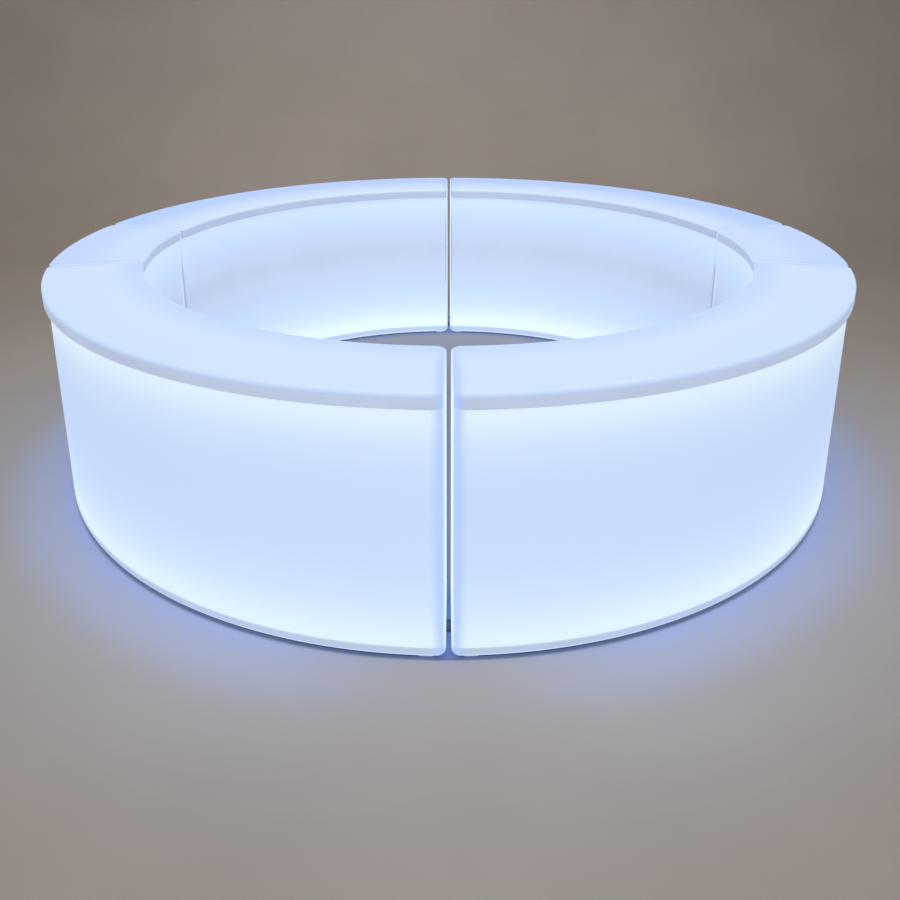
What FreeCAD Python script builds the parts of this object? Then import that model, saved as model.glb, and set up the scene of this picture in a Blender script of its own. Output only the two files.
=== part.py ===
import FreeCAD, Part
import math
import os
import re
import Sketcher

# Illuminated circular bar counter: a ring of hollow moulded modules that stand on the floor.
# Four long wings leave a narrow open gap at the front and the back of the ring, and two short
# gates at the sides pull outwards as the way in. Millimetres and degrees; +Z is up, and the
# origin is the centre of the ring on the floor, with the front gap towards -Y.

DRIVING_SIZES = {
    "ring_radius": 2060,
    "counter_depth": 460,
    "counter_height": 1100,
    "lip_height": 65,
    "lip_overhang": 22,
    "lip_corner": 45,
    "wall_corner": 32,
    "wall_thickness": 6,
    "top_rounding": 10,
    "bottom_rounding": 28,
    "flange_width": 52,
    "gate_span": 26,
    "open_gap": 22,
    "seam_gap": 0.8,
    "foot_height": 6,
    "foot_length": 52,
    "foot_depth": 30,
    "foot_inset": 26,
    "foot_end": 68,
    "plate_thickness": 5,
    "plate_inset": 24,
    "plate_corner": 10,
    "frame_inset": 84,
    "frame_bar": 25,
    "frame_end": 115,
    "frame_headroom": 26,
    "rail_height": 30,
    "rail_reach": 18,
    "rail_wall": 2,
    "rail_drop": 32,
    "rail_end": 64,
    "weld_depth": 1,
    "strip_width": 12,
    "strip_thickness": 2,
    "strip_bond": 0.3,
    "pack_length": 220,
    "pack_depth": 120,
    "pack_height": 64,
    "pack_corner": 8,
    "ear_reach": 16,
    "ear_thickness": 4,
    "panel_length": 110,
    "panel_depth": 70,
    "panel_height": 26,
    "panel_wall": 4,
    "panel_rim": 8,
    "panel_lip": 3,
    "panel_gap": 16,
    "button_radius": 8,
    "button_flange": 2,
    "button_drop": 6,
    "button_lip": 2,
    "button_play": 0.4,
    "button_travel": 2.5,
    "button_offset": 16,
    "switch_wall": 3,
    "switch_height": 14,
    "socket_radius": 13,
    "socket_neck": 9,
    "socket_rim": 3,
    "contact_radius": 2.5,
    "contact_proud": 1,
    "contact_spread": 9,
    "screw_radius": 2.5,
    "screw_head": 5.5,
    "screw_height": 2.5,
    "screw_play": 0.2,
    "screw_inset": 39,
    "screw_end": 130,
    "wing_screws": 6,
    "gate_screws": 4,
    "wing_hoops": 4,
    "gate_hoops": 2,
    "wing_feet": 3,
    "gate_feet": 2,
    "strap_length": 190,
    "strap_width": 70,
    "strap_thickness": 2.5,
    "strap_hole": 20,
    "strap_reach": 70,
    "strap_head": 1.5,
}

# Sizes that follow from the driving ones. The arc angle is the turn that a millimetre along the
# middle line takes. The power pack and the control panel lie end to end about a module's middle.
DERIVED_SIZES = {
    "inner_lip": "ring_radius - counter_depth",
    "outer_wall": "ring_radius - lip_overhang",
    "inner_wall": "inner_lip + lip_overhang",
    "middle_radius": "ring_radius - counter_depth / 2",
    "shell_bottom": "foot_height + plate_thickness",
    "lip_bottom": "counter_height - lip_height",
    "arc_angle": "180 / pi / middle_radius",
    "gap_angle": "open_gap / ring_radius * 180 / pi",
    "wing_span": "90 - gate_span / 2 - gap_angle / 2",
    "gate_width": "gate_span - 2 * seam_gap / inner_lip * 180 / pi",
    "wing_centre": "gate_span / 2 + wing_span / 2",
    "strap_angle": "strap_reach * arc_angle",
    "wing_joint": "wing_span / 2 + gap_angle / 2 - strap_angle",
    "frame_outer": "outer_wall - frame_inset",
    "frame_inner": "inner_wall + frame_inset",
    "frame_top": "counter_height - wall_thickness - frame_headroom",
    "rail_low": "shell_bottom + rail_drop",
    "rail_high": "frame_top - rail_drop",
    "pack_row": "pack_length + 2 * ear_reach",
    "panel_row": "panel_length + 2 * panel_rim",
    "pack_angle": "(panel_row + panel_gap) / 2 * arc_angle",
    "panel_angle": "(pack_row + panel_gap) / 2 * arc_angle",
    "panel_bottom": "foot_height - panel_lip",
    "panel_top": "foot_height + panel_height",
    "panel_ceiling": "panel_top - panel_wall",
    "button_radial": "middle_radius - button_offset",
    "socket_radial": "middle_radius + button_offset",
}

document = FreeCAD.newDocument("counter")
sheet = document.addObject("Spreadsheet::Sheet", "Sizes")
for row, (alias, value) in enumerate({**DRIVING_SIZES, **DERIVED_SIZES}.items(), start=1):
    sheet.set(f"A{row}", alias)
    sheet.set(f"B{row}", f"={value}" if alias in DERIVED_SIZES else str(value))
    sheet.setAlias(f"B{row}", alias)
document.recompute()


def sized(text):
    """Writes a formula over the sheet: every size name gets the sheet's name in front."""
    return re.sub(r"\b[a-z]+(?:_[a-z]+)+\b", r"Sizes.\g<0>", text)


def bind(item, name, text):
    """Ties a property to a formula over the sheet."""
    item.setExpression(name, sized(text))


def turned(item, text):
    """Turns an item about the ring's axis by a formula in degrees."""
    item.Placement.Rotation = FreeCAD.Rotation(FreeCAD.Vector(0, 0, 1), 1)
    bind(item, "Placement.Rotation.Angle", text)
    return item


def body(label):
    """An empty body with its own label."""
    item = document.addObject("PartDesign::Body", label)
    item.Label = label
    return item


def box(low_r, high_r, low_z, high_z):
    """The corners of a rectangle from radius to radius and from height to height."""
    return [(low_r, low_z), (high_r, low_z), (high_r, high_z), (low_r, high_z)]


def section(owner, *loops, axis=None):
    """Draws closed outlines of (radius, height) formulas on the body's upright XZ plane.

    Where an axis radius is given, an upright axis line is drawn there as well.
    """
    sketch = owner.newObject("Sketcher::SketchObject", f"{owner.Name}_section")
    upright = next(plane for plane in owner.Origin.OriginFeatures if plane.Role == "XZ_Plane")
    sketch.AttachmentSupport = [(upright, "")]
    sketch.MapMode = "FlatFace"

    def pin(line, end, corner):
        for kind, text in zip(("DistanceX", "DistanceY"), corner):
            index = sketch.addConstraint(Sketcher.Constraint(kind, -1, 1, line, end, 1.0))
            bind(sketch, f"Constraints[{index}]", text)

    for corners in loops:
        first = sketch.GeometryCount
        count = len(corners)
        start = [
            FreeCAD.Vector(2 + math.cos(2 * math.pi * turn / count), 2 + math.sin(2 * math.pi * turn / count), 0)
            for turn in range(count)
        ]
        for turn in range(count):
            sketch.addGeometry(Part.LineSegment(start[turn], start[(turn + 1) % count]), False)
        for turn in range(count):
            following = first + (turn + 1) % count
            sketch.addConstraint(Sketcher.Constraint("Coincident", first + turn, 2, following, 1))
        for turn, corner in enumerate(corners):
            pin(first + turn, 1, corner)
    if axis:
        line = sketch.addGeometry(Part.LineSegment(FreeCAD.Vector(1, 0, 0), FreeCAD.Vector(1, 1, 0)), True)
        pin(line, 1, (axis, "0"))
        pin(line, 2, (axis, "counter_height"))
    return sketch


def swept(owner, sketch, angle):
    """Sweeps a section round the ring's axis, half to each side of the module's middle."""
    feature = owner.newObject("PartDesign::Revolution", f"{owner.Name}_sweep")
    feature.Profile = sketch
    feature.ReferenceAxis = (sketch, ["V_Axis"])
    feature.Midplane = True
    bind(feature, "Angle", angle)
    owner.Tip = feature
    return feature


def turned_round(owner, sketch):
    """Turns a half section all the way round the axis line drawn in its sketch."""
    feature = owner.newObject("PartDesign::Revolution", f"{owner.Name}_turning")
    feature.Profile = sketch
    feature.ReferenceAxis = (sketch, ["Axis0"])
    owner.Tip = feature
    return feature


def padded(owner, sketch, width):
    """Pads a section evenly to both sides of the module's middle plane."""
    feature = owner.newObject("PartDesign::Pad", f"{owner.Name}_pad")
    feature.Profile = sketch
    feature.SideType = "Symmetric"
    bind(feature, "Length", width)
    owner.Tip = feature
    return feature


def pocketed(owner, sketch, width):
    """Cuts a section evenly to both sides of the module's middle plane."""
    feature = owner.newObject("PartDesign::Pocket", f"{owner.Name}_pocket")
    feature.Profile = sketch
    feature.SideType = "Symmetric"
    bind(feature, "Length", width)
    owner.Tip = feature
    return feature


def repeated(owner, count, angle):
    """Repeats the last feature round the ring's axis and centres the row on the module's middle."""
    last = owner.Tip
    pattern = owner.newObject("PartDesign::PolarPattern", f"{owner.Name}_row")
    pattern.Originals = [last]
    upright = next(line for line in owner.Origin.OriginFeatures if line.Role == "Z_Axis")
    pattern.Axis = (upright, [""])
    bind(pattern, "Angle", angle)
    bind(pattern, "Occurrences", count)
    owner.Tip = pattern
    turned(owner, f"-({angle}) / 2")
    return pattern


def is_upright(edge):
    """True for a straight edge along Z."""
    return abs(edge.BoundBox.ZLength - edge.Length) < edge.Length * 1e-6


def rounded(owner, radius, chosen):
    """Rounds the edges of the last feature that the test chooses from its shape."""
    document.recompute()
    last = owner.Tip
    solid = last.Shape
    names = [f"Edge{index}" for index, edge in enumerate(solid.Edges, start=1) if chosen(edge, solid.BoundBox)]
    feature = owner.newObject("PartDesign::Fillet", f"{owner.Name}_rounding")
    feature.Base = (last, names)
    bind(feature, "Radius", radius)
    owner.Tip = feature
    return feature


def near(value, goal):
    """True if two heights are the same but for rounding error."""
    return math.isclose(value, goal, rel_tol=1e-7, abs_tol=1e-6)


def top_rim(edge, bounds):
    """An edge of the top face."""
    return near(edge.BoundBox.ZMin, bounds.ZMax)


def bottom_rim(edge, bounds):
    """An edge of the bottom face."""
    return near(edge.BoundBox.ZMax, bounds.ZMin)


def joined(label, kind, items):
    """Fuses or groups several items under one label."""
    item = document.addObject(kind, label)
    item.Label = label
    setattr(item, "Links" if kind == "Part::Compound" else "Shapes", items)
    return item


def cut(label, base, tool):
    """The base with the tool taken out of it."""
    item = document.addObject("Part::Cut", label)
    item.Label = label
    item.Base = base
    item.Tool = tool
    return item


def moulding(label, span, skin):
    """A module's rounded outside, or with a skin thickness the hollow inside it.

    The counter top overhangs the wall at the front and the back but not at the ends, where both
    turn the corner and run out flush. Returns the trunk and the top.
    """
    sweep = f"{span} - 2 * {skin} * arc_angle"
    seam = f"lip_bottom + {skin}"
    trunk = body(f"{label}_trunk")
    trunk_side = box(f"inner_wall + {skin}", f"outer_wall - {skin}", f"shell_bottom + {skin}", seam)
    swept(trunk, section(trunk, trunk_side), sweep)
    rounded(trunk, f"wall_corner - {skin}", lambda edge, bounds: is_upright(edge))
    rounded(trunk, f"bottom_rounding - {skin}", bottom_rim)
    top = body(f"{label}_top")
    top_side = box(f"inner_lip + {skin}", f"ring_radius - {skin}", seam, f"counter_height - {skin}")
    swept(top, section(top, top_side), sweep)
    rounded(top, f"lip_corner - {skin}", lambda edge, bounds: is_upright(edge))
    rounded(top, f"top_rounding - {skin}", top_rim)
    return [trunk, top]


def screw(label, radius, bottom, grip, head_radius, head_height):
    """A pan-head screw that stands head down under what it holds, at a radius from the ring's axis."""
    item = body(label)
    half = [
        (radius, f"{bottom} - {head_height}"),
        (f"{radius} + {head_radius}", f"{bottom} - {head_height}"),
        (f"{radius} + {head_radius}", bottom),
        (f"{radius} + screw_radius", bottom),
        (f"{radius} + screw_radius", f"{bottom} + {grip}"),
        (radius, f"{bottom} + {grip}"),
    ]
    turned_round(item, section(item, half, axis=radius))
    return item


def screw_hole(label, radius, bottom, top):
    """The round hole that a screw passes through."""
    item = body(label)
    half = box(radius, f"{radius} + screw_radius + screw_play", bottom, top)
    turned_round(item, section(item, half, axis=radius))
    return item


def module(name, span, screws, hoops, feet, joints):
    """Builds every piece of one module about its own middle, which lies on +X.

    Returns the pieces by name. The wings have holes for the joining straps at both ends, so that
    one plate suits any corner of the ring.
    """
    screw_rows = {
        "outer": ("outer_wall - screw_inset", screws, f"{span} - 2 * screw_end * arc_angle"),
        "inner": ("inner_wall + screw_inset", screws, f"{span} - 2 * screw_end * arc_angle"),
        "middle": ("middle_radius", hoops, f"{span} - 2 * frame_end * arc_angle"),
    }
    grip = "(plate_thickness + wall_thickness)"
    rows, holes = [], []
    for row, (radius, count, sweep) in screw_rows.items():
        rows.append(screw(f"{name}_{row}_screw", radius, "foot_height", grip, "screw_head", "screw_height"))
        repeated(rows[-1], count, sweep)
        holes.append(screw_hole(f"{name}_{row}_hole", radius, "foot_height - screw_height", f"foot_height + {grip}"))
        repeated(holes[-1], count, sweep)

    # Hollow shell: the outside less the inside, the opening underneath and the screw holes.
    opening = body(f"{name}_opening")
    inside = box("inner_wall + flange_width", "outer_wall - flange_width", "foot_height", "shell_bottom + bottom_rounding")
    swept(opening, section(opening, inside), f"{span} - 2 * flange_width * arc_angle")
    core = moulding(f"{name}_core", span, "wall_thickness")
    outside = joined(f"{name}_outside", "Part::MultiFuse", moulding(f"{name}_skin", span, "0"))
    hollow = joined(f"{name}_hollow", "Part::MultiFuse", [*core, opening, *holes[:2]])
    shell = cut(f"{name}_shell", outside, hollow)

    # Base plate: closes the shell underneath and carries everything inside.
    panel_turn = "-panel_angle"
    sheet_stock = body(f"{name}_plate_stock")
    flat = box("inner_wall + plate_inset", "outer_wall - plate_inset", "foot_height", "shell_bottom")
    swept(sheet_stock, section(sheet_stock, flat), f"{span} - 2 * plate_inset * arc_angle")
    rounded(sheet_stock, "plate_corner", lambda edge, bounds: is_upright(edge))
    window = body(f"{name}_window")
    gap = box(
        "middle_radius - panel_depth / 2 - button_play",
        "middle_radius + panel_depth / 2 + button_play",
        "foot_height - panel_lip",
        "panel_top",
    )
    padded(window, section(window, gap), "panel_length + 2 * button_play")
    turned(window, panel_turn)
    plate_holes = [window, *holes]
    if joints:
        for side in ("-", ""):
            for reach in ("-", "+"):
                radius = f"middle_radius {reach} strap_hole"
                hole = screw_hole(f"{name}_strap_hole", radius, "foot_height - screw_height", f"foot_height + {grip}")
                plate_holes.append(turned(hole, f"{side}wing_joint"))
    plate = cut(f"{name}_base_plate", sheet_stock, joined(f"{name}_plate_holes", "Part::MultiFuse", plate_holes))

    # Light frame: welded hoops on the plate, with a channel along each of their four outer corners.
    hoop = body(f"{name}_hoops")
    frame_outline = box("frame_inner", "frame_outer", "shell_bottom", "frame_top")
    frame_hole = box(
        "frame_inner + frame_bar", "frame_outer - frame_bar", "shell_bottom + frame_bar", "frame_top - frame_bar"
    )
    padded(hoop, section(hoop, frame_outline, frame_hole), "frame_bar")
    repeated(hoop, hoops, f"{span} - 2 * frame_end * arc_angle")
    channels, strips = [], []
    for wall, outward in (("frame_outer", "+"), ("frame_inner", "-")):
        inward = "-" if outward == "+" else "+"
        for level in ("rail_low", "rail_high"):
            back = f"{wall} {inward} weld_depth"
            floor_line = f"{back} {outward} rail_wall"
            mouth = f"{wall} {outward} rail_reach"
            low, high = f"{level} - rail_height / 2", f"{level} + rail_height / 2"
            channels.append([
                (back, low),
                (mouth, low),
                (mouth, f"{low} + rail_wall"),
                (floor_line, f"{low} + rail_wall"),
                (floor_line, f"{high} - rail_wall"),
                (mouth, f"{high} - rail_wall"),
                (mouth, high),
                (back, high),
            ])
            strips.append(box(
                f"{floor_line} {outward} strip_bond",
                f"{floor_line} {outward} strip_bond {outward} strip_thickness",
                f"{level} - strip_width / 2",
                f"{level} + strip_width / 2",
            ))
    rails = body(f"{name}_rails")
    swept(rails, section(rails, *channels), f"{span} - 2 * rail_end * arc_angle")
    welded = joined(f"{name}_welded_frame", "Part::MultiFuse", [hoop, rails])
    frame = cut(f"{name}_light_frame", welded, holes[2])
    lights = body(f"{name}_led_strips")
    swept(lights, section(lights, *strips), f"{span} - 2 * rail_end * arc_angle")

    # Power pack: a case with two screw ears that stands on the plate.
    pack = body(f"{name}_power_pack")
    case = box(
        "middle_radius - pack_depth / 2", "middle_radius + pack_depth / 2", "shell_bottom", "shell_bottom + pack_height"
    )
    padded(pack, section(pack, case), "pack_length")
    rounded(pack, "pack_corner", lambda edge, bounds: is_upright(edge) or top_rim(edge, bounds))
    ears = box(
        "middle_radius - pack_depth / 4", "middle_radius + pack_depth / 4", "shell_bottom", "shell_bottom + ear_thickness"
    )
    padded(pack, section(pack, ears), "pack_row")
    turned(pack, "pack_angle")

    # Control panel: a tray let into the plate, so that the button stays clear of the floor.
    panel = body(f"{name}_control_panel")
    tray = box("middle_radius - panel_depth / 2", "middle_radius + panel_depth / 2", "foot_height", "panel_top")
    padded(panel, section(panel, tray), "panel_length")
    rim = box(
        "middle_radius - panel_depth / 2 - panel_rim",
        "middle_radius + panel_depth / 2 + panel_rim",
        "panel_bottom",
        "foot_height",
    )
    padded(panel, section(panel, rim), "panel_row")
    recess = box(
        "middle_radius - panel_depth / 2 + panel_wall",
        "middle_radius + panel_depth / 2 - panel_wall",
        "panel_bottom",
        "panel_ceiling",
    )
    pocketed(panel, section(panel, recess), "panel_length - 2 * panel_wall")
    for radius, width in (("button_radial", "button_radius + button_play"), ("socket_radial", "socket_neck + button_play")):
        through = panel.newObject("PartDesign::Groove", f"{panel.Name}_hole")
        through.Profile = section(
            panel, box(radius, f"{radius} + {width}", "panel_bottom", "panel_top + panel_wall"), axis=radius
        )
        through.ReferenceAxis = (through.Profile[0], ["Axis0"])
        panel.Tip = through
    turned(panel, panel_turn)

    # Push button: held by its flange above the tray, inside the switch that is fixed over it.
    flange_low = "panel_top + button_play"
    button = body(f"{name}_button")
    plunger = [
        ("button_radial", "panel_ceiling - button_drop"),
        ("button_radial + button_radius", "panel_ceiling - button_drop"),
        ("button_radial + button_radius", flange_low),
        ("button_radial + button_radius + button_lip", flange_low),
        ("button_radial + button_radius + button_lip", f"{flange_low} + button_flange"),
        ("button_radial", f"{flange_low} + button_flange"),
    ]
    turned_round(button, section(button, plunger, axis="button_radial"))
    turned(button, panel_turn)
    switch = body(f"{name}_switch")
    bore = "button_radial + button_radius + button_lip + button_play"
    can = [
        ("button_radial", "panel_top + switch_height - switch_wall"),
        (bore, "panel_top + switch_height - switch_wall"),
        (bore, "panel_top"),
        (f"{bore} + switch_wall", "panel_top"),
        (f"{bore} + switch_wall", "panel_top + switch_height"),
        ("button_radial", "panel_top + switch_height"),
    ]
    turned_round(switch, section(switch, can, axis="button_radial"))
    turned(switch, panel_turn)

    # Charging port: a sealed disc under the tray with two flush-set contacts, and its neck through it.
    port = body(f"{name}_charge_port")
    disc = [
        ("socket_radial", "panel_ceiling - socket_rim"),
        ("socket_radial + socket_radius", "panel_ceiling - socket_rim"),
        ("socket_radial + socket_radius", "panel_ceiling"),
        ("socket_radial + socket_neck", "panel_ceiling"),
        ("socket_radial + socket_neck", "panel_top + socket_rim"),
        ("socket_radial", "panel_top + socket_rim"),
    ]
    turned_round(port, section(port, disc, axis="socket_radial"))
    for side in ("-", "+"):
        centre = f"socket_radial {side} contact_spread / 2"
        pin = box(centre, f"{centre} + contact_radius", "panel_ceiling - socket_rim - contact_proud", "panel_ceiling")
        turned_round(port, section(port, pin, axis=centre))
    turned(port, panel_turn)

    # Foot pads under the plate, along its outer and its inner side.
    pads = body(f"{name}_foot_pads")
    outer_pad = box("outer_wall - foot_inset - foot_depth", "outer_wall - foot_inset", "0", "foot_height")
    inner_pad = box("inner_wall + foot_inset", "inner_wall + foot_inset + foot_depth", "0", "foot_height")
    swept(pads, section(pads, outer_pad, inner_pad), "foot_length * arc_angle")
    repeated(pads, feet, f"{span} - 2 * foot_end * arc_angle")

    return {
        "shell": shell,
        "base_plate": plate,
        "light_frame": frame,
        "led_strips": lights,
        "power_pack": pack,
        "control_panel": panel,
        "button": button,
        "switch": switch,
        "charge_port": port,
        "foot_pads": pads,
        "base_screws": joined(f"{name}_base_screws", "Part::Compound", rows),
    }


def placed(label, item, angle):
    """A copy of a piece at its place in the ring, under its own name."""
    return turned(joined(label, "Part::Compound", [item]), angle)


wing = module("wing", "wing_span", "wing_screws", "wing_hoops", "wing_feet", joints=True)
gate = module("gate", "gate_width", "gate_screws", "gate_hoops", "gate_feet", joints=False)

WINGS = {
    "back_right": "wing_centre",
    "back_left": "180 - wing_centre",
    "front_left": "180 + wing_centre",
    "front_right": "-wing_centre",
}
GATES = {"right_gate": "0", "left_gate": "180"}
SHARED_BY_WINGS = {
    "switch": "wing_switches",
    "charge_port": "wing_charge_ports",
    "foot_pads": "floor_pads",
    "base_screws": "plate_screws",
}

nodes = []
for piece, item in wing.items():
    copies = {place: placed(f"{place}_{piece}", item, angle) for place, angle in WINGS.items()}
    if piece in SHARED_BY_WINGS:
        nodes.append(joined(SHARED_BY_WINGS[piece], "Part::Compound", list(copies.values())))
    else:
        nodes.extend(copies.values())
for piece, item in gate.items():
    nodes.extend(placed(f"{place}_{piece}", item, angle) for place, angle in GATES.items())

# Joining straps: flat bars under the plates that hold the open gap at the front and the back.
strap_stock = body("strap_stock")
bar = box(
    "middle_radius - strap_width / 2", "middle_radius + strap_width / 2", "foot_height - strap_thickness", "foot_height"
)
padded(strap_stock, section(strap_stock, bar), "strap_length")
strap_screws, strap_holes = [], []
for reach in ("-", "+"):
    radius = f"middle_radius {reach} strap_hole"
    low = "(foot_height - strap_thickness)"
    grip = "(strap_thickness + plate_thickness)"
    strap_screws.append(screw("strap_screw", radius, low, grip, "screw_head", "strap_head"))
    strap_holes.append(screw_hole("strap_bar_hole", radius, f"{low} - strap_head", "foot_height"))
    for item in (strap_screws[-1], strap_holes[-1]):
        repeated(item, "2", "2 * strap_angle")
strap = cut("strap", strap_stock, joined("strap_bar_holes", "Part::MultiFuse", strap_holes))
screws = joined("strap_screw_set", "Part::Compound", strap_screws)
ENDS = {"front": "-90", "back": "90"}
nodes.append(joined(
    "joining_straps", "Part::Compound", [placed(f"{end}_strap", strap, angle) for end, angle in ENDS.items()]
))
nodes.append(joined(
    "strap_screws", "Part::Compound", [placed(f"{end}_strap_screws", screws, angle) for end, angle in ENDS.items()]
))

document.recompute()
for item in document.Objects:
    if "Invalid" in item.State or "Error" in item.State:
        raise RuntimeError(f"{item.Label} did not build: {item.State}")
os.makedirs("parts", exist_ok=True)
for node in nodes:
    if node.Shape.isNull() or not node.Shape.isValid():
        raise RuntimeError(f"{node.Label} has no valid shape")
    print(node.Label, len(node.Shape.Solids), round(node.Shape.Volume))
    node.Shape.exportStep(f"parts/{node.Label}.step")
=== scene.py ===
"""Looks of an illuminated circular bar counter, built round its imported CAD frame.

Six hollow polyethylene mouldings stand in a ring and glow from inside: four long wings and two
short gates. The shells and the foot pads are surfaces worked out with numpy, and every other CAD
node keeps its shape and gets a finish of its own. Metres; +Z is up.
"""

import logging
import math
from collections.abc import Callable
from dataclasses import dataclass
from enum import Enum
from functools import partial
from itertools import product

import bmesh
import bpy
import numpy as np
from bpy.types import Camera, ColorRamp, Light, Material, Mesh, Node, NodeSocket, NodeTree, Object
from numpy.typing import NDArray
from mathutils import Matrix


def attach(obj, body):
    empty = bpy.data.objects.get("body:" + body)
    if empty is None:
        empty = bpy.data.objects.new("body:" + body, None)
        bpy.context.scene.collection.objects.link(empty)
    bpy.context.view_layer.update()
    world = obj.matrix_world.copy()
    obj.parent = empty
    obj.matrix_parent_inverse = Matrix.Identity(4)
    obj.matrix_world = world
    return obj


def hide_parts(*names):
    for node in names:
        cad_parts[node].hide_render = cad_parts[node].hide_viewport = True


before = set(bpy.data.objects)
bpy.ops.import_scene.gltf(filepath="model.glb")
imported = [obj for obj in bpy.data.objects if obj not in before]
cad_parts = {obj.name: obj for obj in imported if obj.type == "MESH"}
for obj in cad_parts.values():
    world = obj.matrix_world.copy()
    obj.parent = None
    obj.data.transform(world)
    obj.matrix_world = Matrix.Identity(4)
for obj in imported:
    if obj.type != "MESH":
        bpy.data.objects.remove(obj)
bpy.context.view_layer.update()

logging.basicConfig(level=logging.INFO, format="%(levelname)s %(message)s")
LOG = logging.getLogger("bar_counter")

Array = NDArray[np.float64]
Colour = tuple[float, float, float, float]
Place = tuple[float, float, float]
Span = tuple[float, float]
AddNode = Callable[..., Node]
MM = 0.001
# The smallest corner that a plan keeps, and the play when heights are compared.
HAIR = 0.1 * MM
MERGE_DISTANCE = 0.001 * MM


# Small helpers


def linear(code: str) -> Colour:
    """Turns an sRGB hex colour into linear light.

    Args:
        code: six hex digits, with or without a leading hash.

    Returns:
        Red, green, blue and alpha, the first three in linear light.
    """
    digits = code.lstrip("#")
    parts = np.array([int(digits[i : i + 2], 16) for i in (0, 2, 4)]) / 255.0
    light = np.where(parts <= 0.04045, parts / 12.92, ((parts + 0.055) / 1.055) ** 2.4)
    return (float(light[0]), float(light[1]), float(light[2]), 1.0)


def ease(value: Array, span: Span) -> Array:
    """Eases from 0 at the span's start to 1 at its end: t * t * (3 - 2 t) with t clipped to 0..1.

    Args:
        value: where to evaluate.
        span: the value that gives 0 and the value that gives 1, which may be the smaller one.

    Returns:
        The eased share for each value.
    """
    start, end = span
    t = np.clip((value - start) / (end - start), 0.0, 1.0)
    return t * t * (3.0 - 2.0 * t)


def add_node(
    tree: NodeTree, kind: str, settings: dict[str, object] | None = None, **inputs: object
) -> Node:
    """Adds one node with its settings, socket values and links.

    Args:
        tree: the node tree to add to.
        kind: Blender's name of the node type, after the ShaderNode that starts it.
        settings: attributes of the node itself.
        inputs: input sockets by name with underscores for spaces, or in0, in1 by place; a socket
            is linked, a node by its first output, and anything else is set as the socket's value.

    Returns:
        The new node.
    """
    made = tree.nodes.new(f"ShaderNode{kind}")
    for name, value in (settings or {}).items():
        setattr(made, name, value)
    for name, value in inputs.items():
        place = name[2:]
        key = int(place) if name.startswith("in") and place.isdigit() else name.replace("_", " ")
        source = value.outputs[0] if isinstance(value, Node) else value
        if isinstance(source, NodeSocket):
            tree.links.new(source, made.inputs[key])
        else:
            made.inputs[key].default_value = source
    return made


@dataclass(frozen=True)
class Tone:
    """One stop of a colour ramp.

    Attributes:
        share: where it stands, from 0 to 1.
        code: its sRGB hex.
        cover: how much it hides what lies under it.
    """

    share: float
    code: str
    cover: float = 1.0


def set_tones(ramp: ColorRamp, tones: tuple[Tone, ...]) -> None:
    """Fills a colour ramp with tones that stand in rising order.

    Args:
        ramp: the ramp with its two first stops.
        tones: at least two tones.
    """
    while len(ramp.elements) < len(tones):
        ramp.elements.new(1.0)
    for stop, tone in zip(ramp.elements, tones):
        stop.position = tone.share
        stop.color = (*linear(tone.code)[:3], tone.cover)


# Finishes


@dataclass(frozen=True)
class SurfaceFinish:
    """A finish named for its real material and how the surface was made.

    Attributes:
        name: the material's name in the file.
    """

    name: str

    def shader(self, add: AddNode) -> Node:
        """Wires the nodes of the finish, which each kind of finish does in its own way.

        Args:
            add: adds a node to the material.

        Returns:
            The shader that the surface shows.
        """
        raise NotImplementedError

    def material(self) -> Material:
        """Builds the material, or returns it if it was built before.

        Returns:
            A node material on Object coordinates and attributes of the mesh.
        """
        found = bpy.data.materials.get(self.name)
        if found:
            return found
        made = bpy.data.materials.new(self.name)
        made.use_nodes = True
        made.node_tree.nodes.clear()
        add = partial(add_node, made.node_tree)
        add("OutputMaterial", Surface=self.shader(add))
        return made


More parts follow.
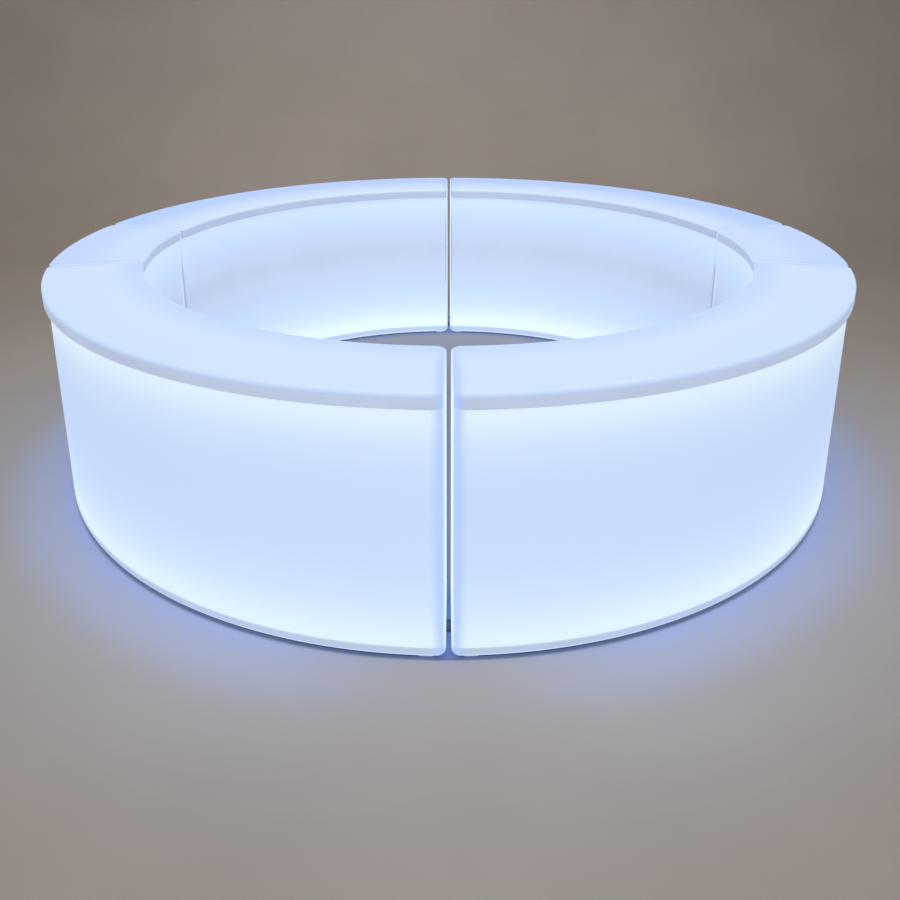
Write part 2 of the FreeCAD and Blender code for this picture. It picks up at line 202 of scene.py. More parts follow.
@dataclass(frozen=True)
class Finish(SurfaceFinish):
    """A plain finish with a grain: metal, coating, rubber or moulded plastic.

    Attributes:
        colour, grain_colour: sRGB hex of the clean surface, and of its marks, streaks or pores.
        roughness, metallic: typical roughness, and 1 for bare metal, else 0.
        ior: refractive index of a plastic or a coating.
        grain_mm: size of the pattern that the surface shows.
        stretch: how many times longer than wide the grain is along Z.
        bump_mm, relief: height of the relief that the grain gives, and its strength.
        patch_grains: width in grains of the patches where marks gather.
        marks: share of the pattern where the marks are full, and where the surface is clean.
        rough_drift: how much less and more the roughness gets along the grain.
    """

    colour: str
    grain_colour: str
    roughness: float
    metallic: float = 0.0
    ior: float = 1.5
    grain_mm: float = 2.0
    stretch: float = 1.0
    bump_mm: float = 0.02
    relief: float = 0.6
    patch_grains: float = 40.0
    marks: Span = (0.14, 0.34)
    rough_drift: Span = (-0.06, 0.08)

    def shader(self, add: AddNode) -> Node:
        """Wires marks that gather in patches, and a relief and a sheen along the grain.

        Args:
            add: adds a node to the material.

        Returns:
            The shader that the surface shows.
        """
        place = add("TexCoord").outputs["Object"]
        drawn = add("Mapping", Vector=place, Scale=(1.0, 1.0, 1.0 / self.stretch))
        grain = add("TexNoise", Vector=drawn, Scale=1.0 / (self.grain_mm * MM), Detail=4.0)
        patch_mm = self.grain_mm * self.patch_grains
        patch = add("TexNoise", Vector=place, Scale=1.0 / (patch_mm * MM), Detail=2.0)
        mixed = add("Math", {"operation": "MULTIPLY"}, in0=grain, in1=patch)
        tint = add("ValToRGB", Fac=mixed)
        marked, clean = self.marks
        set_tones(tint.color_ramp, (Tone(marked, self.grain_colour), Tone(clean, self.colour)))
        less, more = self.rough_drift
        sheen = add("MapRange", Value=grain, To_Min=self.roughness + less, To_Max=self.roughness + more)
        bump = add("Bump", Height=grain, Distance=self.bump_mm * MM, Strength=self.relief)
        body = add("BsdfPrincipled", Base_Color=tint, Roughness=sheen, Metallic=self.metallic, Normal=bump)
        if not self.metallic:
            body.inputs["IOR"].default_value = self.ior
        return body


@dataclass(frozen=True)
class LitPolyethylene(SurfaceFinish):
    """Rotomoulded polyethylene lit from inside: a milky skin whose brightness follows the lamps.

    The skin lets most light through, so it reflects less than a white solid does. How much lamp
    light reaches each spot is worked out on the mesh and kept in the attribute lamp_light, with
    painted shade in the seams near the ends; the share of bluer light is kept in edge_light.
    Beside the ends that bluer light has come a longer way through the skin; along the edges of
    the counter tops it is painted shade, set by the module's place in the ring. Sheets and
    coated strips take the same finish, and a mesh without these attributes shows its first tone.

    Attributes:
        skin: sRGB hex of the unlit skin.
        glow: tones of the glow, by share of full light.
        edge: sRGB hex of the bluer light beside ends, and of the painted shade along the tops' edges.
        strength: how strongly the glow shines.
        roughness, ior: satin of the mould's face, and refractive index of polyethylene.
        peel_mm: spacing of the faint orange peel that the mould leaves.
        bump_mm, relief: height of that peel, and strength of its relief.
        cloud_mm: size of the soft clouds where the skin is thicker or thinner.
        cloud_drift: how much less and more light the clouds let through.
        rough_drift: how much less and more the roughness gets along the peel.
    """

    skin: str
    glow: tuple[Tone, ...]
    edge: str = "#94B3EA"
    strength: float = 1.0
    roughness: float = 0.42
    ior: float = 1.51
    peel_mm: float = 6.0
    bump_mm: float = 0.05
    relief: float = 0.5
    cloud_mm: float = 320.0
    cloud_drift: Span = (-0.025, 0.025)
    rough_drift: Span = (-0.05, 0.07)

    def shader(self, add: AddNode) -> Node:
        """Wires the glow of lamp_light and edge_light under a satin skin.

        Args:
            add: adds a node to the material.

        Returns:
            The shader that the surface shows.
        """
        place = add("TexCoord").outputs["Object"]
        light = add("Attribute", {"attribute_name": "lamp_light"}).outputs["Fac"]
        edge = add("Attribute", {"attribute_name": "edge_light"}).outputs["Fac"]
        cloud = add("TexNoise", Vector=place, Scale=1.0 / (self.cloud_mm * MM), Detail=2.0)
        thick, thin = self.cloud_drift
        drift = add("MapRange", Value=cloud, To_Min=thick, To_Max=thin)
        level = add("Math", {"operation": "ADD", "use_clamp": True}, in0=light, in1=drift)
        ramp = add("ValToRGB", Fac=level)
        set_tones(ramp.color_ramp, self.glow)
        shine = add("Mix", {"data_type": "RGBA"}, in0=edge, in6=ramp, in7=linear(self.edge))
        peel = add("TexNoise", Vector=place, Scale=1.0 / (self.peel_mm * MM), Detail=1.0)
        bump = add("Bump", Height=peel, Distance=self.bump_mm * MM, Strength=self.relief)
        less, more = self.rough_drift
        satin = add("MapRange", Value=peel, To_Min=self.roughness + less, To_Max=self.roughness + more)
        return add(
            "BsdfPrincipled",
            Base_Color=linear(self.skin),
            Roughness=satin,
            IOR=self.ior,
            Normal=bump,
            Emission_Color=shine.outputs[2],
            Emission_Strength=self.strength,
        )


# Milky skin with a cool blue-white glow: lavender grey where little light gets,
# near white by the lamps.
SHELL_SKIN = LitPolyethylene(
    name="polyethylene_rotomoulded_lit",
    skin="#9AA0AC",
    glow=(
        Tone(0.0, "#7F8CA8"),
        Tone(0.06, "#93A1BA"),
        Tone(0.12, "#A8B7D2"),
        Tone(0.3, "#ABC3EA"),
        Tone(0.5, "#B5CAEC"),
        Tone(0.75, "#C2D7EF"),
        Tone(1.0, "#D3E6F1"),
    ),
)
# The same resin as flat sheet and moulded pads: it takes a little of the light at its edges.
SHEET_SKIN = LitPolyethylene(
    name="polyethylene_sheet_edge_lit",
    skin="#C9CDD6",
    glow=(Tone(0.0, "#5D6478"), Tone(1.0, "#B4C4E4")),
    strength=0.9,
    roughness=0.5,
    peel_mm=3.0,
)
# Silicone-coated strip: a soft milky band over the lamps.
STRIP_COAT = LitPolyethylene(
    name="silicone_coated_led_strip",
    skin="#D8DEE8",
    glow=(Tone(0.0, "#C4D6F2"), Tone(1.0, "#F2F8FF")),
    strength=1.5,
    roughness=0.3,
    ior=1.41,
    peel_mm=12.0,
    cloud_mm=40.0,
)
# Extruded and welded aluminium with faint draw lines along its length.
FRAME_METAL = Finish(
    "aluminium_extruded_mill", "#D5D7DA", "#B4B7BB", roughness=0.34, metallic=1.0, grain_mm=1.2, stretch=30.0
)
# Black powder coat: a fine pebbled skin with little shine.
PACK_COAT = Finish("powder_coat_black", "#1B1C1E", "#2A2C2F", roughness=0.55, grain_mm=1.0, bump_mm=0.05)
# Moulded ABS with the fine spark texture of its tool.
PANEL_ABS = Finish(
    "abs_moulded_charcoal", "#2C2E31", "#222427", roughness=0.42, ior=1.54, grain_mm=0.8, bump_mm=0.03
)
# Silicone rubber: matt, and slightly dusty.
BUTTON_RUBBER = Finish("silicone_rubber_grey", "#8B9096", "#7C8187", roughness=0.7, ior=1.41, grain_mm=1.5)
# Glass-filled nylon with a dry, slightly mottled surface.
NYLON = Finish("nylon_moulded_black", "#1D1E20", "#2B2C2E", roughness=0.5, ior=1.53, grain_mm=1.2)
# Bright zinc on turned steel, with a faint cloudiness.
SCREW_ZINC = Finish("steel_zinc_plated", "#C9CBCC", "#A9ACB0", roughness=0.28, metallic=1.0, grain_mm=0.9)
# Flat bar with a black phosphate skin: dull, with a fine crystal grain.
# Its blue-grey colour is painted light: the shells' blue glow falling on it in the gaps.
STRAP_BLACK_BLUE_LIT = Finish("steel_phosphated_black", "#5A6480", "#464E66", roughness=0.5, metallic=1.0)

# The finish of each kind of CAD node, by the ending of its name.
NODE_FINISHES: dict[str, SurfaceFinish] = {
    "light_frame": FRAME_METAL,
    "power_pack": PACK_COAT,
    "control_panel": PANEL_ABS,
    "button": BUTTON_RUBBER,
    "switch": NYLON,
    "switches": NYLON,
    "charge_port": NYLON,
    "charge_ports": NYLON,
    "screws": SCREW_ZINC,
    "straps": STRAP_BLACK_BLUE_LIT,
    "base_plate": SHEET_SKIN,
    "led_strips": STRIP_COAT,
}


# Sizes and plans


class ModuleKind(Enum):
    """The two lengths of module in the ring."""

    WING = "wing"
    GATE = "gate"


@dataclass(frozen=True)
class RingSizes:
    """Sizes of the ring in metres and degrees, the same as those of the CAD part.

    Attributes:
        outer_lip, depth, height: radius of the counter top's outer edge, its depth and its height.
        lip_height, overhang: height of the lip, and how far it stands out from the wall.
        lip_corner, wall_corner: radii of the corners in plan.
        top_rounding: radius of the counter top's upper edge.
        foot_rounding, lip_edge: radii of the lower edges of the wall and of the lip.
        skin, flange: thickness of the moulding, and from the wall's face in to the flange's edge.
        foot_height, plate: height of the foot pads, and thickness of the base plates.
        gate_span: angle of the ring that a gate fills.
        open_gap, seam: width of the open gaps, and play at each end of a gate.
        pad_length, pad_depth: length and width of a foot pad.
        pad_inset, pad_end: from the wall's face in to a pad, and from an end to the last pad's middle.
    """

    outer_lip: float = 2.060
    depth: float = 0.460
    height: float = 1.100
    lip_height: float = 0.065
    overhang: float = 0.022
    lip_corner: float = 0.045
    wall_corner: float = 0.032
    top_rounding: float = 0.010
    foot_rounding: float = 0.028
    lip_edge: float = 0.0025
    skin: float = 0.006
    flange: float = 0.052
    foot_height: float = 0.006
    plate: float = 0.005
    gate_span: float = 26.0
    open_gap: float = 0.022
    seam: float = 0.0008
    pad_length: float = 0.052
    pad_depth: float = 0.030
    pad_inset: float = 0.026
    pad_end: float = 0.068

    @property
    def inner_lip(self) -> float:
        """Radius of the counter top's inner edge."""
        return self.outer_lip - self.depth

    @property
    def middle(self) -> float:
        """Radius of the counter top's middle line."""
        return self.outer_lip - self.depth / 2

    @property
    def outer_wall(self) -> float:
        """Radius of the outer wall."""
        return self.outer_lip - self.overhang

    @property
    def inner_wall(self) -> float:
        """Radius of the inner wall."""
        return self.inner_lip + self.overhang

    @property
    def shell_foot(self) -> float:
        """Height of the shell's underside."""
        return self.foot_height + self.plate

    @property
    def lip_foot(self) -> float:
        """Height of the lip's lower edge."""
        return self.height - self.lip_height

    @property
    def wall_foot(self) -> float:
        """Height where the upright wall starts above the foot rounding."""
        return self.shell_foot + self.foot_rounding

    def half_span(self, kind: ModuleKind) -> float:
        """Half the angle that a module covers.

        A gate fills its span less the seams. A wing reaches from there to the middle of an open gap,
        less half that gap.

        Args:
            kind: wing or gate.

        Returns:
            The angle from the module's middle to its end, in radians.
        """
        if kind is ModuleKind.GATE:
            return math.radians(self.gate_span / 2) - self.seam / self.inner_lip
        return math.radians(90 - self.gate_span / 2) / 2 - self.open_gap / self.outer_lip / 4

    def wing_turn(self) -> float:
        """Angle of a wing's middle from the nearer gate's middle, in radians."""
        return math.radians(self.gate_span / 2) + self.half_span(ModuleKind.WING)


RING = RingSizes()


def around(angle: Array) -> Array:
    """Unit vectors at the given angles from +X: (cos a, sin a)."""
    return np.stack([np.cos(angle), np.sin(angle)], -1)


def rounding(radius: float, steps: int) -> tuple[Array, Array]:
    """A quarter circle from flat to upright: inset = r (1 - cos a) and rise = r (1 - sin a).

    Args:
        radius: radius of the rounding.
        steps: points along it, both ends included.

    Returns:
        How far each point lies inside the upright face, and how far above the flat one.
    """
    angle = np.linspace(math.pi / 2, 0.0, steps)
    return radius * (1 - np.cos(angle)), radius * (1 - np.sin(angle))


@dataclass(frozen=True)
class SectorOutline:
    """Plan of a ring sector with rounded corners, drawn about +X.

    Attributes:
        outer, inner: its two radii.
        half: half the angle of the sector in radians.
        corner: radius of its four corners.
        arc_steps, corner_steps, end_steps: points along each arc, round each corner and along each end.
    """

    outer: float
    inner: float
    half: float
    corner: float
    arc_steps: int
    corner_steps: int = 10
    end_steps: int = 14

    def on_end(self, distance: Array, depth: Array) -> Array:
        """Points beside the end at +half.

        Args:
            distance: how far along the end each point lies from the ring's middle.
            depth: how far inside the end it lies.

        Returns:
            Plan points, with one more axis than the distances.
        """
        along = around(np.array(self.half))
        across = around(np.array(self.half + math.pi / 2))
        return distance[..., None] * along - depth[..., None] * across

    def loop(self, inset: Array) -> Array:
        """Draws the outline moved inwards, one closed loop for each inset.

        A corner circle of radius c = corner - inset touches the end line, which lies inset inside
        the radial plane, and the arc of radius R: its centre is at |C| = R -+ c and c further in
        from the end line, so its distance along the end is sqrt(|C|^2 - (inset + c)^2). The loop
        runs along the outer arc, round the end at +half, back along the inner arc and round the
        other end, which is the mirror image.

        Args:
            inset: how far each loop lies inside the outline.

        Returns:
            Points of shape (loops, points, 2).
        """
        d = np.asarray(inset, dtype=float)[:, None]
        c = np.maximum(self.corner - d, HAIR)
        outer_r = self.outer - d
        inner_r = self.inner + d
        outer_t = np.sqrt((outer_r - c) ** 2 - (d + c) ** 2)
        inner_t = np.sqrt((inner_r + c) ** 2 - (d + c) ** 2)
        outer_c = self.on_end(outer_t, d + c)
        inner_c = self.on_end(inner_t, d + c)
        outer_turn = np.arctan2(outer_c[..., 1], outer_c[..., 0])
        inner_turn = np.arctan2(inner_c[..., 1], inner_c[..., 0])

        share = np.linspace(-1.0, 1.0, self.arc_steps)[None, :]
        outer_arc = outer_r[..., None] * around(outer_turn * share)
        inner_arc = inner_r[..., None] * around(-inner_turn * share)
        step = (np.arange(1, self.corner_steps) / self.corner_steps)[None, :]
        end_way = self.half + math.pi / 2
        first = outer_turn + (end_way - outer_turn) * step
        last = end_way + (inner_turn + math.pi - end_way) * step
        outer_corner = outer_c + c[..., None] * around(first)
        inner_corner = inner_c + c[..., None] * around(last)
        way = np.linspace(0.0, 1.0, self.end_steps)[None, :]
        along = outer_t + (inner_t - outer_t) * way
        end = self.on_end(along, np.broadcast_to(d, along.shape))
        turn = np.concatenate([outer_corner, end, inner_corner], axis=1)
        mirrored = turn[:, ::-1] * np.array([1.0, -1.0])
        return np.concatenate([outer_arc, turn, inner_arc, mirrored], axis=1)

    def spine(self, radius: float) -> Array:
        """The middle line that the flat top or bottom closes on, point for point with the loop.

        Args:
            radius: radius of the middle line.

        Returns:
            Points of shape (points, 2).
        """
        reach = self.half - (self.outer - self.inner) / 2 / radius
        share = np.linspace(-1.0, 1.0, self.arc_steps)
        ends = np.ones(2 * (self.corner_steps - 1) + self.end_steps)
        return radius * around(reach * np.concatenate([share, ends, -share, -ends]))


# Meshes


def stacked_mesh(name: str, rings: Array, heights: Array, turn: float) -> Mesh:
    """Skins a stack of closed loops into one mesh and merges the doubles of a row that is a line.

    Each face joins a point, the next one round its loop and the two above them.

    Args:
        name: name of the mesh.
        rings: plan loops of shape (rows, points, 2), from the bottom up, anticlockwise from above.
        heights: one height for each row.
        turn: angle about Z that puts the piece in its place.

    Returns:
        The mesh with outward faces and smooth shading.
    """
    rows, count = rings.shape[:2]
    cos, sin = around(np.array(turn))
    plan = rings.reshape(-1, 2) @ np.array([[cos, sin], [-sin, cos]])
    points = np.column_stack([plan, np.repeat(heights, count)])
    row = np.arange(rows - 1)[:, None] * count
    here = row + np.arange(count)
    after = row + (np.arange(count) + 1) % count
    quads = np.stack([here, after, after + count, here + count], -1).reshape(-1, 4)
    mesh = bpy.data.meshes.new(name)
    mesh.from_pydata(points.tolist(), [], quads.tolist())
    work = bmesh.new()
    work.from_mesh(mesh)
    bmesh.ops.remove_doubles(work, verts=work.verts, dist=MERGE_DISTANCE)
    work.to_mesh(mesh)
    work.free()
    mesh.shade_smooth()
    return mesh


def show(data: Mesh | Light | Camera) -> Object:
    """Puts a mesh, a lamp or a camera into the scene as an object of the same name.

    Args:
        data: what the object shows.

    Returns:
        The new object, at the origin.
    """
    made = bpy.data.objects.new(data.name, data)
    bpy.context.scene.collection.objects.link(made)
    return made


def points_of(mesh: Mesh) -> Array:
    """Reads a mesh's vertices.

    Args:
        mesh: the mesh to read.

    Returns:
        Points of shape (vertices, 3).
    """
    flat = np.empty(len(mesh.vertices) * 3, dtype=np.float32)
    mesh.vertices.foreach_get("co", flat)
    return flat.reshape(-1, 3).astype(float)


def set_share(mesh: Mesh, name: str, share: Array) -> None:
    """Stores a share from 0 to 1 for each vertex in the named attribute."""
    layer = mesh.attributes.new(name, "FLOAT", "POINT")
    layer.data.foreach_set("value", np.clip(share, 0.0, 1.0).astype(np.float32))


# Sub-assemblies


@dataclass(frozen=True)
class SectionRows:
    """Where the rows of points lie along a module's section.

    Attributes:
        flange_inset: inset of the row between the flange's edge and the foot rounding.
        foot_steps, wall_steps: points round the foot and up the wall.
        low_shares: close rows above the foot, as shares of the wall's height.
        under_share: inset of the row under the lip, as a share of the overhang.
        bead_steps, side_steps: points round the lip's lower edge and up its side.
        edge_steps: points round the counter top's upper edge.
        top_shares: rows on the flat top, as shares of the way to its middle line.
    """

    flange_inset: float = 0.040
    foot_steps: int = 9
    low_shares: tuple[float, ...] = (0.006, 0.012, 0.018, 0.022, 0.027)
    wall_steps: int = 29
    under_share: float = 0.6
    bead_steps: int = 4
    side_steps: int = 6
    edge_steps: int = 8
    top_shares: tuple[float, ...] = (0.03, 0.07, 0.14, 0.25, 0.4, 0.55, 0.7, 0.85, 1.0)


@dataclass(frozen=True)
class LampGlow:
    """How the lamps inside light a shell's skin: shares of full light, and lengths in metres.

    A span gives where an effect starts and where it is full. Besides the lamps' light it holds
    painted shade: in the seams near the ends, and along the edges of the counter tops.

    Attributes:
        high_reach, low_reach: how far the light of the upper and of the lower lamp row carries.
        wall: light on the outer wall far from both rows.
        row_gain, row_limit: what a row adds beside it, and the most that both rows come to.
        inner_loss, inner_return: what the inner wall lacks, and what the lower row gives back to it.
        inner_blend: from the inner wall's face, how far its own light is whole.
        foot, foot_band: light on the foot, and the heights above its rounding where it ends.
        foot_edge, foot_line: light on its lowest edge, and the heights above the underside.
        top: light on the counter top.
        lip, lip_inner_loss: light in the lip's double skin, and what the inner lip lacks.
        lip_top: heights from the counter top where the lip's side takes the top's light.
        top_inner, top_outer: shares of the depth where the painted shade, in a bluer tone, along
        each edge runs.
        top_seam_shade, top_seam_shade_line: painted shade in the seam, how much darker the top
            gets near an end, and how near.
        inner_seam_shade, inner_seam_shade_line: the same painted shade on the inner wall.
        rim, rim_line: light on the very edge of an end, and how near to it.
        rim_inner_loss: what the inner wall's edge lacks.
        rim_top_loss, rim_top: what the top's edge lacks, and the heights from the top.
        end_blue, end_strip: share of bluer light near an end, and how near.
    """

    high_reach: float = 0.15
    low_reach: float = 0.22
    wall: float = 0.31
    row_gain: float = 0.64
    row_limit: float = 1.05
    inner_loss: float = 0.43
    inner_return: float = 0.55
    inner_blend: float = 0.05
    foot: float = 0.10
    foot_band: Span = (0.017, 0.022)
    foot_edge: float = 0.85
    foot_line: Span = (0.018, 0.012)
    top: float = 0.47
    lip: float = 0.11
    lip_inner_loss: float = 0.06
    lip_top: Span = (-0.022, -0.008)
    top_inner: Span = (0.40, 0.03)
    top_outer: Span = (0.05, 0.8)
    top_seam_shade: float = 0.32
    top_seam_shade_line: Span = (0.036, 0.016)
    inner_seam_shade: float = 0.22
    inner_seam_shade_line: Span = (0.019, 0.011)
    rim: float = 0.68
    rim_inner_loss: float = 0.10
    rim_top_loss: float = 0.08
    rim_top: Span = (-0.022, 0.0)
    rim_line: Span = (0.008, 0.004)
    end_blue: float = 0.75
    end_strip: Span = (0.055, 0.016)


@dataclass
class ModuleShell:
    """One hollow moulding: a walled ring sector with an overhanging, rounded counter top.

    Attributes:
        place: name of its place in the ring, which starts the names of its CAD nodes.
        body: the CAD body that it rides on.
        kind: wing or gate.
        turn: angle of its middle about Z, in radians.
        blue: shares of painted shade, in a bluer tone, on its top along the inner and the outer
        edge.
        sizes: the ring's sizes.
        rows: where the rows of points lie along its section.
        glow: how the lamps inside light it.
        wing_steps, gate_steps: points along each long arc of a wing and of a gate.
    """

    place: str
    body: str
    kind: ModuleKind
    turn: float
    blue: tuple[float, float]
    sizes: RingSizes = RING
    rows: SectionRows = SectionRows()
    glow: LampGlow = LampGlow()
    wing_steps: int = 121
    gate_steps: int = 49

    def surface(self) -> tuple[Array, Array]:
        """Carries the module's section round the plans of its wall and of its top, point for point.

        From the flange's edge the section runs out to the foot rounding, a quarter circle, up the
        wall, out under the lip, round its lower edge, up its side, round the top edge, again a
        quarter circle, and over the flat top to the middle line.

        Returns:
            Plan loops of shape (rows, points, 2), and their heights.
        """
        s = self.sizes
        rows = self.rows
        half = s.half_span(self.kind)
        arc = self.wing_steps if self.kind is ModuleKind.WING else self.gate_steps
        wall = SectorOutline(s.outer_wall, s.inner_wall, half, s.wall_corner, arc)
        top = SectorOutline(s.outer_lip, s.inner_lip, half, s.lip_corner, arc)
        foot_inset, foot_rise = rounding(s.foot_rounding, rows.foot_steps)
        share = np.concatenate([rows.low_shares, np.linspace(0.0, 1.0, rows.wall_steps)[1:]])
        wall_z = s.wall_foot + (s.lip_foot - s.wall_foot) * share
        wall_inset = np.concatenate([[s.flange, rows.flange_inset], foot_inset, np.zeros_like(share)])

        bead_inset, bead_rise = rounding(s.lip_edge, rows.bead_steps)
        edge_inset, edge_drop = rounding(s.top_rounding, rows.edge_steps)
        side_z = np.linspace(s.lip_foot + s.lip_edge, s.height - s.top_rounding, rows.side_steps)[1:-1]
        under = s.overhang * rows.under_share
        top_inset = np.concatenate([[under], bead_inset, np.zeros_like(side_z), edge_inset[::-1]])
        rings = np.concatenate([wall.loop(wall_inset), top.loop(top_inset)])
        fold = np.array(rows.top_shares)[:, None, None]
        flat = rings[-1] + (top.spine(s.middle) - rings[-1]) * fold
        heights = np.concatenate([
            np.full(2, s.shell_foot),
            s.shell_foot + foot_rise,
            wall_z,
            [s.lip_foot],
            s.lip_foot + bead_rise,
            side_z,
            s.height - edge_drop[::-1],
            np.full(len(fold), s.height),
        ])
        return np.concatenate([rings, flat]), heights

    def wall_light(self, z: Array, inside: Array) -> Array:
        """The light on the wall.

        Lamp rows run along the upper and the lower edges inside, so the wall's light falls with
        the distance h from each as 1 / (1 + (h / reach)^2). The foot rounding turns away from the
        lamps, and its lowest edge catches the light of the base plate.

        Args:
            z: heights.
            inside: 1 on the inner wall, 0 on the outer one.

        Returns:
            The light at each height.
        """
        s = self.sizes
        g = self.glow
        low = z - s.wall_foot
        upper = 1 / (1 + ((s.lip_foot - z) / g.high_reach) ** 2)
        lower = 1 / (1 + (low / g.low_reach) ** 2)
        lamps = g.row_gain * np.clip(upper + lower, 0.0, g.row_limit)
        light = g.wall + lamps - inside * (g.inner_loss - g.inner_return * lower)
        light = g.foot + (light - g.foot) * ease(low, g.foot_band)
        return light + (g.foot_edge - light) * ease(z - s.shell_foot, g.foot_line)

    def end_distance(self, points: Array) -> Array:
        """How far each point lies from the nearer end: radius * sin(half span - angle).

        Args:
            points: vertices in the ring's frame.

        Returns:
            Distances, none below zero.
        """
        radius = np.hypot(points[:, 0], points[:, 1])
        angle = np.arctan2(points[:, 1], points[:, 0]) - self.turn
        angle = np.abs((angle + math.pi) % (2 * math.pi) - math.pi)
        return np.maximum(radius * np.sin(self.sizes.half_span(self.kind) - angle), 0.0)

    def lamp_light(self, points: Array) -> tuple[Array, Array]:
        """How much lamp light reaches the skin, and how much of it is bluer, from 0 to 1.

        The lip is a double skin that little light gets into, and the last few centimetres before
        an end stay bluer, up to the bright line on the very edge. Painted shade darkens the seams
        near each end, and painted shade in a bluer tone runs along the top's edges, as much as the
        module's place in the ring asks.

        Args:
            points: vertices in the ring's frame.

        Returns:
            The light at each vertex and the share of bluer light in it.
        """
        s = self.sizes
        g = self.glow
        radius = np.hypot(points[:, 0], points[:, 1])
        z = points[:, 2]
        from_top = z - s.height
        inside = ease(radius, (s.middle, s.inner_wall + g.inner_blend))
        wall = self.wall_light(z, inside)

        across = (radius - s.inner_lip) / s.depth
        # Painted shade: a bluer tone along the top's inner and outer edges, as the module's place asks.
        inner_edge_shade, outer_edge_shade = self.blue
        top_edge_shade = inner_edge_shade * ease(across, g.top_inner) + outer_edge_shade * ease(across, g.top_outer)
        past_wall = np.maximum(radius - s.outer_wall, s.inner_wall - radius)
        in_lip = (z > s.lip_foot - HAIR) & (past_wall > MM)
        flat = from_top > -MM
        on_top = ease(from_top, g.lip_top)
        shade = g.lip - g.lip_inner_loss * inside
        light = np.where(in_lip, shade + (g.top - shade) * on_top, np.where(flat, g.top, wall))
        blue = np.where(in_lip, on_top, np.where(flat, 1.0, 0.0)) * top_edge_shade

        to_end = self.end_distance(points)
        rim = ease(to_end, g.rim_line)
        # Painted shade in the seams: the top and the inner wall darken close to each end.
        top_seam_shade = g.top_seam_shade * ease(to_end, g.top_seam_shade_line)
        inner_seam_shade = g.inner_seam_shade * inside * ease(to_end, g.inner_seam_shade_line)
        light = light - np.where(flat, top_seam_shade, inner_seam_shade)
        bright = g.rim - g.rim_inner_loss * inside - g.rim_top_loss * ease(from_top, g.rim_top)
        light = light + (bright - light) * rim
        beside_end = g.end_blue * ease(to_end, g.end_strip) * (1.0 - inside)
        blue = np.maximum(blue, beside_end) * (1.0 - rim)
        return light, blue

    def build(self) -> Object:
        """Builds the shell, gives it its skin thickness and ties it to its CAD body.

        Returns:
            The shell, which stands for its CAD node.
        """
        piece = show(stacked_mesh(f"{self.place}_moulding", *self.surface(), self.turn))
        thick = piece.modifiers.new("skin", "SOLIDIFY")
        thick.thickness = self.sizes.skin
        thick.offset = -1.0
        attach(piece, self.body)
        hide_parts(f"{self.place}_shell")
        return piece

    def dress(self, piece: Object) -> None:
        """Gives the shell its skin and the light on it.

        Args:
            piece: the shell that build made.
        """
        light, blue = self.lamp_light(points_of(piece.data))
        set_share(piece.data, "lamp_light", light)
        set_share(piece.data, "edge_light", blue)
        piece.data.materials.append(SHELL_SKIN.material())


@dataclass
class FloorPads:
    """The low moulded pads under one body's base plates, with softened edges.

    Attributes:
        name: name of the piece.
        body, node: the CAD body that it rides on, and the CAD node that it stands for.
        kind: wing or gate.
        turns: angles of the modules' middles about Z, in radians.
        count: pads along each side of a module.
        sizes: the ring's sizes.
        corner: radius of a pad's corners in plan.
        edge, edge_steps: radius of the softened lower edge, and points round it.
        plan_steps: points along each long side, round each corner and along each short side.
        top_light: share of full light at the upper edge, which fades to the underside.
    """

    name: str
    body: str
    node: str
    kind: ModuleKind
    turns: tuple[float, ...]
    count: int
    sizes: RingSizes = RING
    corner: float = 0.006
    edge: float = 0.0015
    edge_steps: int = 4
    plan_steps: tuple[int, int, int] = (9, 5, 4)
    top_light: float = 0.9

    def surface(self, outer: float) -> tuple[Array, Array]:
        """Carries a pad's section round its plan, which is a small ring sector.

        From the middle of its flat underside the section runs out to the softened edge, a quarter
        circle, up to the plate and over the flat top to the middle line.

        Args:
            outer: radius of the pad's outer side.

        Returns:
            Plan loops of shape (rows, points, 2), and their heights.
        """
        s = self.sizes
        inner = outer - s.pad_depth
        half = s.pad_length / s.middle / 2
        plan = SectorOutline(outer, inner, half, self.corner, *self.plan_steps)
        inset, rise = rounding(self.edge, self.edge_steps)
        spine = plan.spine(outer - s.pad_depth / 2)[None]
        rings = np.concatenate([spine, plan.loop(np.append(inset, 0.0)), spine])
        heights = np.concatenate([[0.0], rise, [s.foot_height, s.foot_height]])
        return rings, heights

    def build(self) -> Object:
        """Builds the pads as one mesh of separate closed forms and ties it to its CAD body.

        Returns:
            The pads, which stand for their CAD node.
        """
        s = self.sizes
        reach = s.half_span(self.kind) - s.pad_end / s.middle
        offsets = np.linspace(-reach, reach, self.count)
        sides = (s.outer_wall - s.pad_inset, s.inner_wall + s.pad_inset + s.pad_depth)
        work = bmesh.new()
        for turn, offset, outer in product(self.turns, offsets, sides):
            pad = stacked_mesh("pad", *self.surface(outer), turn + offset)
            work.from_mesh(pad)
            bpy.data.meshes.remove(pad)
        mesh = bpy.data.meshes.new(self.name)
        work.to_mesh(mesh)
        work.free()
        piece = show(mesh)
        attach(piece, self.body)
        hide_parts(self.node)
        return piece

    def dress(self, piece: Object) -> None:
        """Gives the pads their skin and the light at their upper edges.

        Args:
            piece: the pads that build made.
        """
        height_share = points_of(piece.data)[:, 2] / self.sizes.foot_height
        set_share(piece.data, "lamp_light", self.top_light * height_share)
        piece.data.materials.append(SHEET_SKIN.material())


@dataclass
class CarriedNodes:
    """The CAD nodes that keep their own shape and get their finish here.

    Attributes:
        replaced: endings of the names of nodes that a new piece stands for.
    """

    replaced: tuple[str, ...] = ("_shell", "_foot_pads", "floor_pads")

    def dress(self) -> list[str]:
        """Gives every shown node the finish that its name ends with.

        Returns:
            The names of the dressed nodes.
        """
        dressed = []
        for name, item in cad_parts.items():
            if name.endswith(self.replaced):
                continue
            finish = next(value for ending, value in NODE_FINISHES.items() if name.endswith(ending))
            item.data.materials.clear()
            item.data.materials.append(finish.material())
            dressed.append(name)
        return dressed


